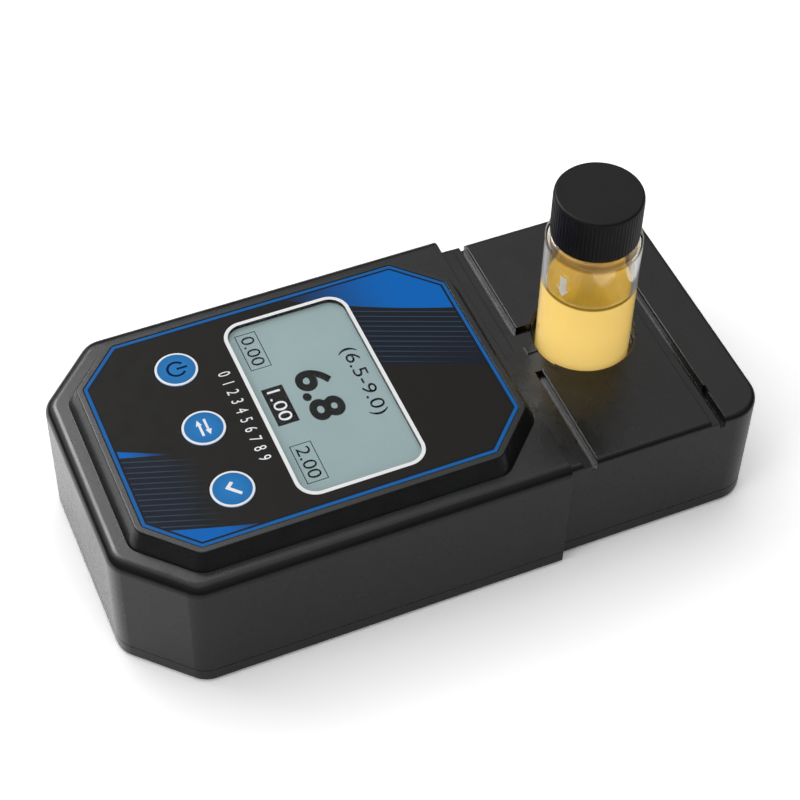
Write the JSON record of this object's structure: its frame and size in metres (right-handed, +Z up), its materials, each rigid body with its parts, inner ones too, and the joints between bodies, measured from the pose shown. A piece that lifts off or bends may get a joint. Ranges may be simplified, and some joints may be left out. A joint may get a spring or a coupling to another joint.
{
  "type": "portable water quality analyzer",
  "caption": "Handheld photometer for water tests: stepped black case, keys and display on a raised panel, capped sample vial standing in a well.",
  "frame": {"origin": "centre of the footprint on the surface that the rubber feet stand on", "axes": "+Z up out of the display and the keys, +Y towards the end with the sample vial, -Y towards the end with the keys, +X to the right of a user who reads the display from the -Y end"},
  "size_m": [0.0874, 0.173, 0.0866],
  "materials": {
    "case": "satin, fine texture",
    "black_rubber": "matte",
    "screw_steel": "zinc plated",
    "overlay_film": "printed film, black with blue corner patches",
    "clear_window": "clear, printed white frame",
    "display_glass": "grey-green liquid crystal",
    "white_plastic": "plain",
    "black_plastic": "plain",
    "key_blue": "blue with a white ring",
    "switch_metal": "stamped",
    "circuit_board": "green solder mask",
    "chip_black": "moulded",
    "ribbon_grey": "flat cable",
    "clear_resin": "clear resin",
    "filter_glass": "interference filter",
    "cell_jacket": "printed sleeve",
    "contact_nickel": "nickel plated",
    "clear_glass": "clear",
    "sample_yellow": "clear yellow liquid",
    "cap_black": "ribbed, satin"
  },
  "bodies": {
    "case": {"top_housing": "case", "bottom_housing": "case", "housing_seal": "black_rubber", "rubber_feet": "black_rubber", "well_gasket": "black_rubber", "housing_screws": "screw_steel", "board_screws": "screw_steel", "well_screws": "screw_steel", "front_overlay": "overlay_film", "display_window": "clear_window", "display_panel": "display_glass", "display_backlight": "white_plastic", "display_frame": "black_plastic", "key_switches": "switch_metal", "main_board": "circuit_board", "optics_board": "circuit_board", "board_chips": "chip_black", "ribbon_connectors": "white_plastic", "ribbon_cable": "ribbon_grey", "cell_well": "black_plastic", "light_source": "clear_resin", "optical_filter": "filter_glass", "photodiode": "switch_metal", "batteries": "cell_jacket", "battery_contacts": "contact_nickel"},
    "power_button": {"power_key": "key_blue", "power_plunger": "black_plastic"},
    "select_button": {"select_key": "key_blue", "select_plunger": "black_plastic"},
    "confirm_button": {"confirm_key": "key_blue", "confirm_plunger": "black_plastic"},
    "door": {"battery_door": "case"},
    "vial": {"vial_glass": "clear_glass", "sample_liquid": "sample_yellow"},
    "liner": {"cap_liner": "white_plastic"},
    "cap": {"vial_cap": "cap_black"}
  },
  "joints": [
    {"name": "power_press", "type": "slide", "parent": "case", "child": "power_button", "axis": [0, 0, -1], "range_m": [0, 0.0005], "stiffness_N_per_m": 800},
    {"name": "select_press", "type": "slide", "parent": "case", "child": "select_button", "axis": [0, 0, -1], "range_m": [0, 0.0005], "stiffness_N_per_m": 800},
    {"name": "confirm_press", "type": "slide", "parent": "case", "child": "confirm_button", "axis": [0, 0, -1], "range_m": [0, 0.0005], "stiffness_N_per_m": 800},
    {"name": "vial_lift", "type": "slide", "parent": "case", "child": "vial", "axis": [0, 0, 1], "range_m": [0, 0.04]},
    {"name": "cap_lift", "type": "slide", "parent": "vial", "child": "liner", "axis": [0, 0, 1], "range_m": [0, 0.0108]},
    {"name": "cap_turn", "type": "hinge", "parent": "liner", "child": "cap", "pos_m": [0, 0.0535, 0.08], "axis": [0, 0, 1], "range_deg": [0, 1230]},
    {"name": "battery_door_swing", "type": "hinge", "parent": "case", "child": "door", "pos_m": [0, -0.0602, 0.0004], "axis": [-1, 0, 0], "range_deg": [0, 60]}
  ],
  "couplings": [
    {"joint": "cap_turn", "follows": "cap_lift", "rad_per_m": 1979}
  ]
}
